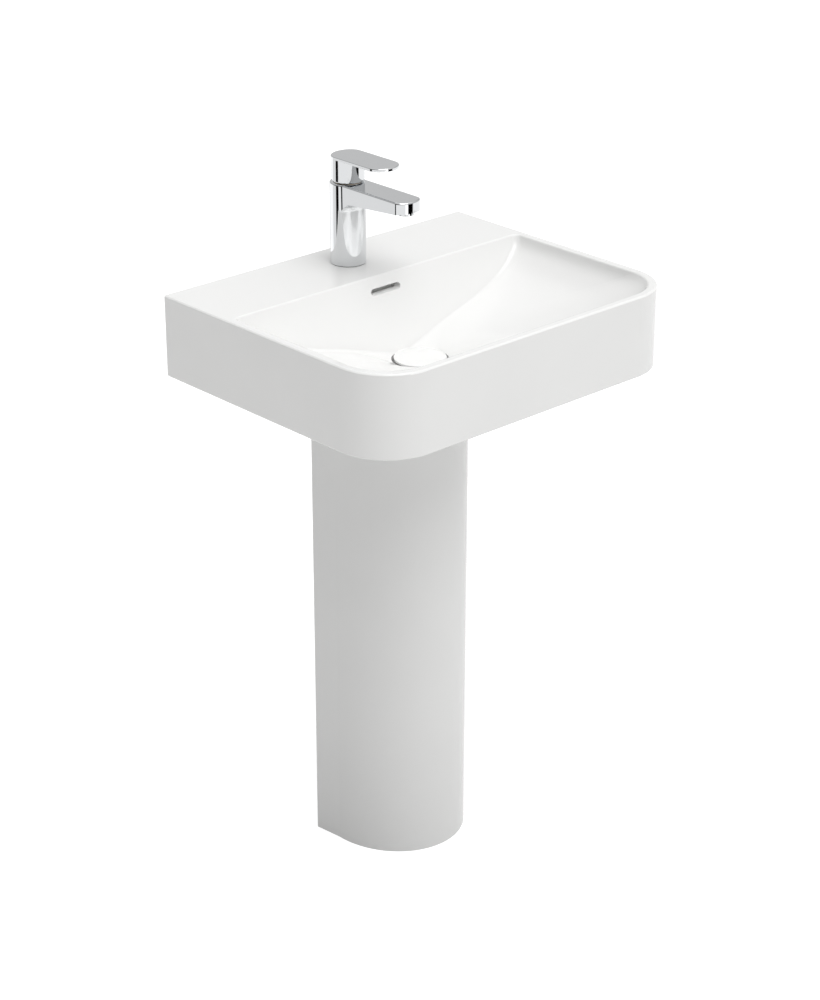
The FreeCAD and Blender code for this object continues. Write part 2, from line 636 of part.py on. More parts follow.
def lever():
    top = SPOUT_Z + LEVER_TOP
    under = top - LEVER_THICKNESS
    back = TAP_Y + LEVER_BACK
    neck_z = SPOUT_Z + LEVER_GAP
    plate = prism(oblong(LEVER_HALF, TAP_Y - LEVER_FRONT, LEVER_NOSE, back, LEVER_HEEL, under),
                  LEVER_THICKNESS)
    plate = plate.makeFillet(1.3, level_edges(plate, top))
    plate = plate.makeFillet(0.8, level_edges(plate, under))
    neck_front = TAP_Y + LEVER_BACK - LEVER_HEEL - LEVER_HALF
    neck = prism(oblong(LEVER_HALF, neck_front, LEVER_HALF - 0.5, back, LEVER_HEEL, neck_z),
                 under - neck_z + 1.5)
    neck = neck.makeFillet(1.5, level_edges(neck, neck_z))
    body = plate.fuse(neck)

    hollow = prism(oblong(LEVER_HALF - NECK_WALL, neck_front + NECK_WALL,
                          LEVER_HALF - 0.5 - NECK_WALL, back - NECK_WALL,
                          LEVER_HEEL - NECK_WALL, neck_z - 1), NECK_CEILING - LEVER_GAP + 1)
    body = body.cut(hollow)

    # The heel is cut away so that it clears the spout when the lever is fully lifted.
    rise = math.tan(math.radians(LEVER_LIFT))
    start = TAP_Y - 2.5
    far = back + 5
    body = body.cut(side_plate([
        (start, neck_z - 1), (start, neck_z), (far, neck_z + rise * (far - start)),
        (far, neck_z - 1),
    ], LEVER_HALF + 2))

    ceiling = SPOUT_Z + NECK_CEILING
    body = body.cut(box(-STEM_X - PART_GAP, STEM_X + PART_GAP, TAP_Y - STEM_Y - PART_GAP,
                        TAP_Y + STEM_Y + PART_GAP, ceiling - 1, ceiling + 12.2))
    screw_z = ceiling + 6
    body = body.cut(bar_y(2.5, TAP_Y + STEM_Y, back + 1, 0, screw_z))
    return body.cut(bar_y(3.5, back - 4, back + 1, 0, screw_z))


def lever_grub_screw():
    y0 = TAP_Y + STEM_Y
    screw_z = SPOUT_Z + NECK_CEILING + 6
    body = bar_y(2.5 - PART_GAP, y0, y0 + 8, 0, screw_z)
    corners = [V(1.45 * math.cos(math.radians(60 * i)), y0 + 5,
                 screw_z + 1.45 * math.sin(math.radians(60 * i))) for i in range(7)]
    return body.cut(Part.Face(Part.makePolygon(corners)).extrude(V(0, 4, 0)))


def lever_plug():
    back = TAP_Y + LEVER_BACK
    screw_z = SPOUT_Z + NECK_CEILING + 6
    return bar_y(3.5 - PART_GAP, back - 4, back - 0.4, 0, screw_z)


# ------------------------------------------------------------------ aerator

def aerator_ring():
    seat_z = spout_under_z(AERATOR_Y) + 0.5
    low = seat_z - 0.5 - AERATOR_DROP
    thread_r = AERATOR_R - 2 - PART_GAP
    return turned((
        (8.6, low), (AERATOR_R - 0.8, low), (AERATOR_R, low + 0.8), (AERATOR_R, seat_z),
        (thread_r, seat_z), (thread_r, seat_z + 4.5), (9.4, seat_z + 4.5), (9.4, low + 1.5),
        (8.6, low + 1.5),
    ), AERATOR_Y)


def aerator_insert():
    seat_z = spout_under_z(AERATOR_Y) + 0.5
    low = seat_z - 0.5 - AERATOR_DROP + 1.5
    body = post(9.4 - PART_GAP, low, seat_z + 4.5, 0, AERATOR_Y)
    body = body.cut(post(7.8, low + 2, seat_z + 3, 0, AERATOR_Y))
    holes = [post(0.9, low - 1, seat_z + 6, 0, AERATOR_Y)]
    for radius, count in ((3.2, 6), (6.2, 12)):
        for i in range(count):
            turn = 2 * math.pi * i / count
            holes.append(post(0.9, low - 1, seat_z + 6, radius * math.cos(turn),
                              AERATOR_Y + radius * math.sin(turn)))
    return body.cut(holes)


def aerator_washer():
    seat_z = spout_under_z(AERATOR_Y) + 0.5
    return ring(AERATOR_R - 2.3, WATERWAY_R + 2, seat_z + 4.5, seat_z + 6, 0, AERATOR_Y)


# ------------------------------------------------------------------ waste

def waste_body():
    lip = FLANGE_TOP
    body = turned((
        (WASTE_BORE_R, TAIL_Z), (WASTE_THREAD_R, TAIL_Z), (WASTE_THREAD_R, FLANGE_Z),
        (FLANGE_R, FLANGE_Z), (FLANGE_R, lip - 1.0), (FLANGE_R - 1.2, lip),
        (WASTE_BORE_R + 1, lip), (WASTE_BORE_R, lip - 1.5),
    ), WASTE_Y)
    slot_z = BOSS_Z + 9
    for i in range(4):
        slot = box(-5, 5, WASTE_Y + WASTE_BORE_R - 4, WASTE_Y + WASTE_THREAD_R + 2,
                   slot_z, slot_z + 14)
        slot.rotate(V(0, WASTE_Y, 0), V(0, 0, 1), 90 * i)
        body = body.cut(slot)
    return body


def waste_top_seal():
    return ring(FLANGE_R - 1, WASTE_THREAD_R + PART_GAP, SEAT_Z, FLANGE_Z, 0, WASTE_Y)


def waste_cone_seal():
    z = BOSS_Z
    inner = WASTE_THREAD_R + PART_GAP
    return turned(((inner, z - 7), (30, z - 7), (30, z - 4), (26, z), (inner, z)), WASTE_Y)


def waste_washer():
    return ring(30, WASTE_THREAD_R + PART_GAP, BOSS_Z - 9, BOSS_Z - 7, 0, WASTE_Y)


def waste_backnut():
    return hex_nut(54, WASTE_THREAD_R + PART_GAP, BOSS_Z - 19, BOSS_Z - 9, 0, WASTE_Y)


def click_cage():
    z = BOSS_Z + 26
    body = ring(WASTE_BORE_R - PART_GAP, WASTE_BORE_R - 2, z, z + 8, 0, WASTE_Y)
    body = body.fuse(post(ROD_R + 2.6, z, z + 6, 0, WASTE_Y))
    for i in range(3):
        arm = box(-1.2, 1.2, WASTE_Y, WASTE_Y + WASTE_BORE_R - 1, z, z + 5)
        arm.rotate(V(0, WASTE_Y, 0), V(0, 0, 1), 120 * i)
        body = body.fuse(arm)
    return body.cut(post(ROD_R + RUN, z - 1, z + 9, 0, WASTE_Y))


def click_spring():
    wire_r = 0.6
    coil_r = ROD_R + 1.8
    low = BOSS_Z + 32 + wire_r + 0.1
    high = CAP_Z - 2 - wire_r - 0.1
    helix = Part.makeHelix((high - low) / 5, high - low, coil_r)
    helix.translate(V(0, WASTE_Y, low))
    start = helix.Edges[0].valueAt(helix.Edges[0].FirstParameter)
    along = helix.Edges[0].tangentAt(helix.Edges[0].FirstParameter)
    section = Part.Wire([Part.makeCircle(wire_r, start, along)])
    return Part.Wire(helix.Edges).makePipeShell([section], True, True)


def plunger():
    cage_z = BOSS_Z + 26
    return turned((
        (0, cage_z - 8), (ROD_R + 1.5, cage_z - 8), (ROD_R + 1.5, cage_z - MOVE_GAP),
        (ROD_R, cage_z - MOVE_GAP), (ROD_R, CAP_Z - 2), (9, CAP_Z - 2), (9, CAP_Z),
        (ROD_R - 1, CAP_Z), (ROD_R - 1, CAP_Z + 3.5), (0, CAP_Z + 3.5),
    ), WASTE_Y)


def cap_seal():
    return ring(FLANGE_R - 2, 9 + PART_GAP, CAP_Z - CAP_SEAL, CAP_Z, 0, WASTE_Y)


def waste_cap():
    base = post(CAP_R, CAP_Z, CAP_Z + CAP_EDGE, 0, WASTE_Y)
    base = base.makeFillet(0.8, level_edges(base, CAP_Z))
    ball_r = (CAP_R ** 2 + CAP_CROWN ** 2) / (2 * CAP_CROWN)
    crown = Part.makeSphere(ball_r, V(0, WASTE_Y, CAP_Z + CAP_EDGE + CAP_CROWN - ball_r))
    crown = crown.common(post(CAP_R, CAP_Z + CAP_EDGE - 1, CAP_Z + CAP_EDGE + 20, 0, WASTE_Y))
    body = base.fuse(crown).removeSplitter()
    return body.cut(post(ROD_R - 1 + PART_GAP, CAP_Z - 1, CAP_Z + 3.6, 0, WASTE_Y))


# ------------------------------------------------------------------ trap and outlet

def grip_nut(outer, z0, z1, y):
    """Round hand nut with eight grips; bored by its caller."""
    body = post(outer, z0, z1, 0, y)
    for i in range(8):
        turn = 2 * math.pi * i / 8
        body = body.fuse(post(2.5, z0, z1, (outer - 0.5) * math.cos(turn),
                              y + (outer - 0.5) * math.sin(turn)))
    return body


def trap_inlet_nut():
    body = grip_nut(26, TAIL_Z - 8, TAIL_Z + 12, WASTE_Y)
    body = body.cut(post(WASTE_THREAD_R + PART_GAP, TAIL_Z - 1.5, TAIL_Z + 13, 0, WASTE_Y))
    body = body.cut(post(23.1, TAIL_Z - 5, TAIL_Z, 0, WASTE_Y))
    return body.cut(post(19.1, TAIL_Z - 9, TAIL_Z, 0, WASTE_Y))


def trap_inlet_seal():
    return ring(WASTE_THREAD_R, DIP_R + 1, TAIL_Z - 1.5, TAIL_Z, 0, WASTE_Y)


def trap_body():
    z = TAIL_Z
    roof = z - 24
    low = z - 80
    inner = TRAP_R - TRAP_WALL
    body = turned((
        (DIP_R, z - 1.5), (23, z - 1.5), (23, z - 5), (19, z - 5), (19, roof + 8),
        (TRAP_R, roof), (TRAP_R, low), (inner, low), (inner, roof - 4), (DIP_R + 2.5, roof + 3),
        (DIP_R + 2.5, z - 108), (DIP_R, z - 108),
    ), WASTE_Y)
    branch = bar_y(WASTE_THREAD_R, WASTE_Y + inner - 6, WASTE_Y + 62, 0, OUTLET_Z)
    branch = branch.cut(post(inner, low, roof + 8, 0, WASTE_Y))
    body = body.fuse(branch)
    return body.cut(bar_y(SPIGOT_R + 0.3, WASTE_Y + inner - 10, WASTE_Y + 63, 0, OUTLET_Z))


def trap_cup():
    low = TAIL_Z - 140
    shelf = TAIL_Z - 81.5
    inner = TRAP_R - TRAP_WALL
    outer = TRAP_R + 4
    body = turned((
        (0, low), (outer - 6, low), (outer, low + 6), (outer, shelf + 13),
        (TRAP_R + PART_GAP, shelf + 13), (TRAP_R + PART_GAP, shelf), (inner, shelf),
        (inner, low + 7), (inner - 3, low + 4), (0, low + 4),
    ), WASTE_Y)
    for i in range(12):
        turn = 2 * math.pi * i / 12
        body = body.fuse(post(1.6, low + 8, shelf + 10, outer * math.cos(turn),
                              WASTE_Y + outer * math.sin(turn)))
    return body


def trap_cup_seal():
    return ring(TRAP_R - PART_GAP, TRAP_R - TRAP_WALL, TAIL_Z - 81.5, TAIL_Z - 80, 0, WASTE_Y)


def trap_outlet_nut():
    y0 = WASTE_Y + 50
    body = bar_y(26, y0, y0 + 24, 0, OUTLET_Z)
    for i in range(8):
        turn = 2 * math.pi * i / 8
        body = body.fuse(bar_y(2.5, y0, y0 + 24, 25.5 * math.cos(turn),
                               OUTLET_Z + 25.5 * math.sin(turn)))
    body = body.cut(bar_y(WASTE_THREAD_R + PART_GAP, y0 - 1, y0 + 17, 0, OUTLET_Z))
    return body.cut(bar_y(SPIGOT_R + 0.3, y0, y0 + 25, 0, OUTLET_Z))


def trap_outlet_seal():
    return ring_y(WASTE_THREAD_R, SPIGOT_R + PART_GAP / 2, WASTE_Y + 62, WASTE_Y + 67, 0, OUTLET_Z)


def outlet_pipe():
    nut_end = WASTE_Y + 74
    body = bar_y(PIPE_R, nut_end + 2, WALL_Y, 0, OUTLET_Z)
    body = body.fuse(bar_y(SPIGOT_R, WASTE_Y + 46, nut_end + 3, 0, OUTLET_Z))
    return body.cut(bar_y(SPIGOT_R - PIPE_WALL, WASTE_Y + 45, WALL_Y + 1, 0, OUTLET_Z))


# ------------------------------------------------------------------ output

PIECES = (
    basin, basin_bowl, basin_underside, pedestal, pedestal_bedding,
    tap_body, tap_base_gasket, tap_stud, tap_clamp_rubber, tap_clamp_plate, tap_stud_nut,
    cartridge_base_seal, cartridge_housing, fixed_disc, moving_disc, spindle_carrier, spindle_pin,
    spindle, cartridge_nut, trim_ring, lever, lever_grub_screw, lever_plug,
    aerator_ring, aerator_insert, aerator_washer,
    waste_body, waste_top_seal, waste_cone_seal, waste_washer, waste_backnut,
    click_cage, click_spring, plunger, cap_seal, waste_cap,
    trap_inlet_nut, trap_inlet_seal, trap_body, trap_cup, trap_cup_seal,
    trap_outlet_nut, trap_outlet_seal, outlet_pipe,
)

for piece in PIECES:
    shape = piece()
    shape.exportStep("parts/" + piece.__name__ + ".step")
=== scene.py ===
import json
import math

import bpy
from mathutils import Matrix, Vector

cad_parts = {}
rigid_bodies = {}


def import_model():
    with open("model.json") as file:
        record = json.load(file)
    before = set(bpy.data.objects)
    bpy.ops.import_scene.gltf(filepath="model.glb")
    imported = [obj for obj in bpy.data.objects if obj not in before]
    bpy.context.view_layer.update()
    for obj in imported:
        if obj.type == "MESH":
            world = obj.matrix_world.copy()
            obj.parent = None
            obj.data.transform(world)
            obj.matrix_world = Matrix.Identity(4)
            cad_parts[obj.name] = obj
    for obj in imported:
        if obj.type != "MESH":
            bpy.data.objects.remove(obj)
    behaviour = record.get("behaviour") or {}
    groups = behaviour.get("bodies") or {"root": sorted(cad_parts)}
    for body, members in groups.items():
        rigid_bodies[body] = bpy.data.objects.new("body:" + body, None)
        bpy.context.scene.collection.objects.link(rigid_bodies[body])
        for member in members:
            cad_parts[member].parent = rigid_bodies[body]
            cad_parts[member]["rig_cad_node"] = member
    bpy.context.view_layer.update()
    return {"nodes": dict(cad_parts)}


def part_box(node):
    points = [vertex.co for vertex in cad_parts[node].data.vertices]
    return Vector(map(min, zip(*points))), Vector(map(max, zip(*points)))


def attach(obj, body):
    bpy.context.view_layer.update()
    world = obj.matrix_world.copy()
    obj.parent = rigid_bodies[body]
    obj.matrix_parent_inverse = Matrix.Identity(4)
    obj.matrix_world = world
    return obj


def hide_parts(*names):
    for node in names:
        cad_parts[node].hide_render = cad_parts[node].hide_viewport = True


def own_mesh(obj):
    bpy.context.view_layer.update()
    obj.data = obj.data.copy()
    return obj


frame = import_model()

# Camera: a long lens held above the rim, turned about 43 degrees to the left of the front,
# so that the deck, the bowl and both straight faces of the basin show together.
AIM = Vector((-0.0252, 0.0, 0.5531))
TURN, RISE, ROLL = math.radians(-42.78), math.radians(24.55), math.radians(0.09)
AWAY = 3.3569             # metres from the aim point
LENS, SENSOR = 86.1, 36.0    # millimetres

camera_data = bpy.data.cameras.new("studio_camera")
camera_data.lens = LENS
camera_data.sensor_width = SENSOR
camera = bpy.data.objects.new("studio_camera", camera_data)
bpy.context.scene.collection.objects.link(camera)
back = Vector((math.sin(TURN) * math.cos(RISE), -math.cos(TURN) * math.cos(RISE), math.sin(RISE)))
camera.location = AIM + back * AWAY
camera.rotation_euler = back.to_track_quat("Z", "Y").to_euler()
camera.rotation_euler.rotate_axis("Z", ROLL)
bpy.context.scene.camera = camera


# Floor: a plain, seamless sheet of matt white plastic, lit a little from below as a light table
# is, so that the object's own shadow nearly vanishes. Its glow on the object fades near the foot,
# and chrome sees past it to the lit room.
def linear(hex_colour):
    """An sRGB hex value as linear RGBA."""
    out = []
    for i in (1, 3, 5):
        c = int(hex_colour[i:i + 2], 16) / 255
        out.append(c / 12.92 if c <= 0.04045 else ((c + 0.055) / 1.055) ** 2.4)
    return (*out, 1.0)


def add_node(tree, kind, settings=None, **links):
    """One shader node with its settings and its inputs; a link is (node, output name)."""
    node = tree.nodes.new(kind)
    for name, value in (settings or {}).items():
        if name in node.inputs:
            node.inputs[name].default_value = value
        else:
            setattr(node, name, value)
    for name, (source, output) in links.items():
        tree.links.new(source.outputs[output], node.inputs[name.replace("_", " ")])
    return node


def new_material(name):
    """An empty node material: the material, its node tree and its output node."""
    material = bpy.data.materials.new(name)
    material.use_nodes = True
    material.node_tree.nodes.clear()
    return material, material.node_tree, material.node_tree.nodes.new("ShaderNodeOutputMaterial")


FLOOR_SIZE = 30.0
GLOW_AT_FOOT, GLOW_FAR_OFF = 0.12, 0.59    # what the object receives
FOOT_REACH, FAR_REACH = 0.15, 1.0          # metres from the middle of the floor
GLOW_SEEN = 0.75                           # what the camera receives
WHITE = (1, 1, 1, 1)

bpy.ops.object.select_all(action="DESELECT")
bpy.ops.mesh.primitive_plane_add(size=FLOOR_SIZE, location=(0, 0, 0))
floor = bpy.context.object
floor.name = "studio_floor"
table, tree, out = new_material("light_table_plastic")
matt = add_node(tree, "ShaderNodeBsdfDiffuse", {"Color": (0.5, 0.5, 0.5, 1)})
spot = add_node(tree, "ShaderNodeTexCoord")
reach = add_node(tree, "ShaderNodeVectorMath", {"operation": "LENGTH"}, Vector=(spot, "Object"))
near_foot = add_node(tree, "ShaderNodeMapRange",
                     {"From Min": FOOT_REACH, "From Max": FAR_REACH,
                      "To Min": GLOW_AT_FOOT, "To Max": GLOW_FAR_OFF},
                     Value=(reach, "Value"))
seen = add_node(tree, "ShaderNodeLightPath")
strength = add_node(tree, "ShaderNodeMix", {"data_type": "FLOAT"}, Factor=(seen, "Is Camera Ray"))
strength.inputs[3].default_value = GLOW_SEEN
tree.links.new(near_foot.outputs["Result"], strength.inputs[2])
lit = add_node(tree, "ShaderNodeEmission", {"Color": WHITE})
tree.links.new(strength.outputs[0], lit.inputs["Strength"])
both = add_node(tree, "ShaderNodeAddShader")
tree.links.new(matt.outputs["BSDF"], both.inputs[0])
tree.links.new(lit.outputs["Emission"], both.inputs[1])
tree.links.new(both.outputs["Shader"], out.inputs["Surface"])
floor.data.materials.append(table)
floor.visible_glossy = False


# Studio light: an even white tent, bright overhead and at the front right, dim on the left, so
# that the basin's end face falls into a soft grey, with one round soft box high in front. Just
# below the horizon stand two black flags, a white strip and a grey one, which show in the tap.
bpy.context.scene.view_settings.view_transform = "Standard"
tent = bpy.data.worlds.new("studio_tent")
bpy.context.scene.world = tent
tent.use_nodes = True
tree = tent.node_tree
tree.nodes.clear()
out = add_node(tree, "ShaderNodeOutputWorld")
place = add_node(tree, "ShaderNodeTexCoord")
axes = add_node(tree, "ShaderNodeSeparateXYZ", Vector=(place, "Generated"))


def glow(value, low, high, dark, bright):
    """Light that rises smoothly from one direction to the opposite one."""
    return add_node(tree, "ShaderNodeMapRange",
                    {"From Min": low, "From Max": high, "To Min": dark, "To Max": bright,
                     "interpolation_type": "SMOOTHSTEP"}, Value=value)


def combine(operation, first, second):
    """A math node on two values, each a (node, output name) or a number."""
    node = add_node(tree, "ShaderNodeMath", {"operation": operation})
    for i, value in enumerate((first, second)):
        if isinstance(value, tuple):
            tree.links.new(value[0].outputs[value[1]], node.inputs[i])
        else:
            node.inputs[i].default_value = value
    return (node, "Value")


FRONT_RIGHT = (0.707, -0.707, 0.0)
towards = add_node(tree, "ShaderNodeVectorMath", {"operation": "DOT_PRODUCT"},
                   Vector=(place, "Generated"))
towards.inputs[1].default_value = FRONT_RIGHT
side = glow((towards, "Value"), -1.0, 1.0, 0.08, 0.57)
behind = glow((axes, "Y"), 0.2, 1.0, 0.0, 0.46)
top = glow((axes, "Z"), 0.45, 1.0, 0.0, 0.60)
tent_glow = combine("ADD", combine("ADD", (side, "Result"), (behind, "Result")), (top, "Result"))

around = combine("ARCTAN2", (axes, "Y"), (axes, "X"))
turn = add_node(tree, "ShaderNodeMapRange", {"From Min": -math.pi, "From Max": math.pi},
                Value=around)
flags = add_node(tree, "ShaderNodeValToRGB", Fac=(turn, "Result"))
# Flags and strip round the horizon: (degrees from +X, shade).
STOPS = ((-180, 0.60), (-95, 0.60), (-91, 1.0), (-79, 1.0), (-77, 0.0), (-52, 0.0), (-48, 0.66),
         (47, 0.66), (50, 0.42), (70, 0.42), (80, 0.75), (118, 0.75), (124, 0.54), (147, 0.54),
         (150, 0.0), (167, 0.0), (170, 0.60))
FLAG_GAIN = 1.7
ramp = flags.color_ramp.elements
ramp.remove(ramp[1])
ramp[0].position = 0.0
ramp[0].color = (STOPS[0][1],) * 3 + (1,)
for degrees, shade in STOPS[1:]:
    ramp.new(degrees / 360 + 0.5).color = (shade, shade, shade, 1)
flag_glow = combine("MULTIPLY", (flags, "Color"), FLAG_GAIN)
near_level = add_node(tree, "ShaderNodeMapRange", {"From Min": -0.37, "From Max": -0.345},
                      Value=(axes, "Z"))
low_glow = add_node(tree, "ShaderNodeMix", {"data_type": "FLOAT"}, Factor=(near_level, "Result"))
low_glow.inputs[2].default_value = 1.0
tree.links.new(flag_glow[0].outputs[flag_glow[1]], low_glow.inputs[3])
above = add_node(tree, "ShaderNodeMapRange",
                 {"From Min": -0.16, "From Max": 0.0, "interpolation_type": "SMOOTHSTEP"},
                 Value=(axes, "Z"))
total = add_node(tree, "ShaderNodeMix", {"data_type": "FLOAT"}, Factor=(above, "Result"))
tree.links.new(low_glow.outputs[0], total.inputs[2])
tree.links.new(tent_glow[0].outputs[tent_glow[1]], total.inputs[3])
light = add_node(tree, "ShaderNodeBackground", {"Color": WHITE})
tree.links.new(total.outputs[0], light.inputs["Strength"])

# The camera itself sees plain white past the edge of the floor.
plain = add_node(tree, "ShaderNodeBackground", {"Color": WHITE, "Strength": 1.0})
seen = add_node(tree, "ShaderNodeLightPath")
either = add_node(tree, "ShaderNodeMixShader", Fac=(seen, "Is Camera Ray"))
tree.links.new(light.outputs["Background"], either.inputs[1])
tree.links.new(plain.outputs["Background"], either.inputs[2])
tree.links.new(either.outputs["Shader"], out.inputs["Surface"])

KEY_ENERGY, KEY_WIDTH = 1.4, 44    # the width is in degrees
KEY_FROM = (-0.05, -0.45, 0.89)
key_data = bpy.data.lights.new("soft_key", "SUN")
key_data.energy = KEY_ENERGY
key_data.angle = math.radians(KEY_WIDTH)
key = bpy.data.objects.new("soft_key", key_data)
bpy.context.scene.collection.objects.link(key)
key.rotation_euler = Vector(KEY_FROM).to_track_quat("Z", "Y").to_euler()


# Pedestal: vitreous china, slip-cast as an open-backed column and fired with a white glaze.
# The glaze flows before it sets: it has a faint, slow waviness. Painted shade makes upright faces
# a little greyer than level ones, and a painted glow brightens narrow slots and gaps.
nodes = frame["nodes"]


def finish_with(material, *names):
    """Gives CAD pieces their finish."""
    for name in names:
        nodes[name].material_slots[0].material = material


def mottle(tree, texture, output, first, second):
    """A mix of two colours that follows a texture."""
    mix = add_node(tree, "ShaderNodeMix", {"data_type": "RGBA"}, Factor=(texture, output))
    mix.inputs["A"].default_value = linear(first)
    mix.inputs["B"].default_value = linear(second)
    return mix


china, tree, out = new_material("vitreous_china_glazed")
place = add_node(tree, "ShaderNodeTexCoord")
wave = add_node(tree, "ShaderNodeTexNoise", {"Scale": 9.0, "Detail": 2.0, "Roughness": 0.4},
                Vector=(place, "Object"))
speck = add_node(tree, "ShaderNodeTexNoise", {"Scale": 320.0, "Detail": 1.0},
                 Vector=(place, "Object"))
surface = add_node(tree, "ShaderNodeNewGeometry")
slope = add_node(tree, "ShaderNodeSeparateXYZ", Vector=(surface, "Normal"))
# Painted light and shade: faces that point up are painted whiter (#F4F4F3), upright faces greyer,
# with a faint random mottle.
painted_level_light = add_node(tree, "ShaderNodeMapRange",
                  {"From Min": 0.05, "From Max": 0.45, "interpolation_type": "SMOOTHSTEP"},
                  Value=(slope, "Z"))
painted_upright_shade_mottle = mottle(tree, wave, "Fac", "#DFDFDE", "#E3E3E2")
tint = add_node(tree, "ShaderNodeMix", {"data_type": "RGBA"}, Factor=(painted_level_light, "Result"),
                A=(painted_upright_shade_mottle, "Result"))
tint.inputs["B"].default_value = linear("#F4F4F3")
flow = add_node(tree, "ShaderNodeBump", {"Strength": 0.05, "Distance": 0.002},
                Height=(wave, "Fac"))
peel = add_node(tree, "ShaderNodeBump", {"Strength": 0.02, "Distance": 0.0002},
                Height=(speck, "Fac"), Normal=(flow, "Normal"))
gloss = add_node(tree, "ShaderNodeMapRange", {"To Min": 0.06, "To Max": 0.11}, Value=(wave, "Fac"))
# Painted glow: the china emits light where ambient occlusion finds narrow slots and gaps, lifting
# their shade.
narrow = add_node(tree, "ShaderNodeAmbientOcclusion", {"Distance": 0.012})
painted_slot_glow = add_node(tree, "ShaderNodeMapRange", {"From Min": 0.05, "From Max": 0.45, "To Min": 0.5,
                                             "To Max": 0.0}, Value=(narrow, "AO"))
face = add_node(tree, "ShaderNodeBsdfPrincipled", {"IOR": 1.52}, Base_Color=(tint, "Result"),
                Roughness=(gloss, "Result"), Normal=(peel, "Normal"),
                Emission_Strength=(painted_slot_glow, "Result"))
tree.links.new(face.outputs["BSDF"], out.inputs["Surface"])
finish_with(china, "pedestal")

# Bedding between pedestal and basin: a thin squeezed bead of white sanitary silicone.
silicone, tree, out = new_material("sanitary_silicone_white")
place = add_node(tree, "ShaderNodeTexCoord")
tooling = add_node(tree, "ShaderNodeTexNoise", {"Scale": 60.0, "Detail": 3.0},
                   Vector=(place, "Object"))
ridges = add_node(tree, "ShaderNodeBump", {"Strength": 0.25, "Distance": 0.0004},
                  Height=(tooling, "Fac"))
face = add_node(tree, "ShaderNodeBsdfPrincipled",
                {"Base Color": linear("#DEDEDB"), "Roughness": 0.45, "IOR": 1.41},
                Normal=(ridges, "Normal"))
tree.links.new(face.outputs["BSDF"], out.inputs["Surface"])
finish_with(silicone, "pedestal_bedding")


# Basin: one vitreous china casting, bowl, skirt, deck, overflow duct and waste boss together,
# with the same white glaze as the pedestal all over.
finish_with(china, "basin", "basin_bowl", "basin_underside")


# Tap body: cast brass, polished, then nickel and chrome plated. The plate is a mirror, with
# only the fine haze that wiping leaves in it.
chrome, tree, out = new_material("polished_chrome_plate")
place = add_node(tree, "ShaderNodeTexCoord")
wiping = add_node(tree, "ShaderNodeTexNoise", {"Scale": 35.0, "Detail": 4.0, "Distortion": 0.6},
                  Vector=(place, "Object"))
haze = add_node(tree, "ShaderNodeMapRange", {"To Min": 0.03, "To Max": 0.075},
                Value=(wiping, "Fac"))
tint = mottle(tree, wiping, "Fac", "#DDDFE1", "#E2E3E4")
face = add_node(tree, "ShaderNodeBsdfPrincipled", {"Metallic": 1.0}, Base_Color=(tint, "Result"),
                Roughness=(haze, "Result"))
tree.links.new(face.outputs["BSDF"], out.inputs["Surface"])
finish_with(chrome, "tap_body")

# Tap seals: moulded black EPDM, under the tap's foot and under the clamp below the deck.
rubber, tree, out = new_material("epdm_rubber_black")
place = add_node(tree, "ShaderNodeTexCoord")
grain = add_node(tree, "ShaderNodeTexNoise", {"Scale": 900.0, "Detail": 2.0},
                 Vector=(place, "Object"))
bloom = add_node(tree, "ShaderNodeTexNoise", {"Scale": 45.0, "Detail": 3.0},
                 Vector=(place, "Object"))
tint = mottle(tree, bloom, "Fac", "#1B1B1C", "#2A2A2B")
pores = add_node(tree, "ShaderNodeBump", {"Strength": 0.3, "Distance": 0.0001},
                 Height=(grain, "Fac"))
face = add_node(tree, "ShaderNodeBsdfPrincipled", {"Roughness": 0.62}, Base_Color=(tint, "Result"),
                Normal=(pores, "Normal"))
tree.links.new(face.outputs["BSDF"], out.inputs["Surface"])
finish_with(rubber, "tap_base_gasket", "tap_clamp_rubber")

# Stud and clamp plate: cold-drawn and pressed steel, bright zinc plated, with its crystals.
zinc, tree, out = new_material("zinc_plated_steel")
place = add_node(tree, "ShaderNodeTexCoord")
crystals = add_node(tree, "ShaderNodeTexVoronoi", {"Scale": 420.0}, Vector=(place, "Object"))
dull = add_node(tree, "ShaderNodeMapRange", {"To Min": 0.24, "To Max": 0.40},
                Value=(crystals, "Distance"))
tint = mottle(tree, crystals, "Distance", "#A9ABAE", "#C2C4C5")
face = add_node(tree, "ShaderNodeBsdfPrincipled", {"Metallic": 1.0}, Base_Color=(tint, "Result"),
                Roughness=(dull, "Result"))
tree.links.new(face.outputs["BSDF"], out.inputs["Surface"])
finish_with(zinc, "tap_stud", "tap_clamp_plate")

# Stud nut: bar brass, turned and hexed. Fine tool rings run round each turned face.
brass, tree, out = new_material("turned_brass")
place = add_node(tree, "ShaderNodeTexCoord")
rings = add_node(tree, "ShaderNodeTexWave",
                 {"wave_type": "BANDS", "bands_direction": "Z", "Scale": 900.0, "Distortion": 0.4},
                 Vector=(place, "Object"))
tarnish = add_node(tree, "ShaderNodeTexNoise", {"Scale": 30.0, "Detail": 5.0},
                   Vector=(place, "Object"))
tint = mottle(tree, tarnish, "Fac", "#C9A455", "#A8813C")
cut = add_node(tree, "ShaderNodeBump", {"Strength": 0.12, "Distance": 0.0001},
               Height=(rings, "Fac"))
face = add_node(tree, "ShaderNodeBsdfPrincipled", {"Metallic": 1.0, "Roughness": 0.26},
                Base_Color=(tint, "Result"), Normal=(cut, "Normal"))
tree.links.new(face.outputs["BSDF"], out.inputs["Surface"])
finish_with(brass, "tap_stud_nut")


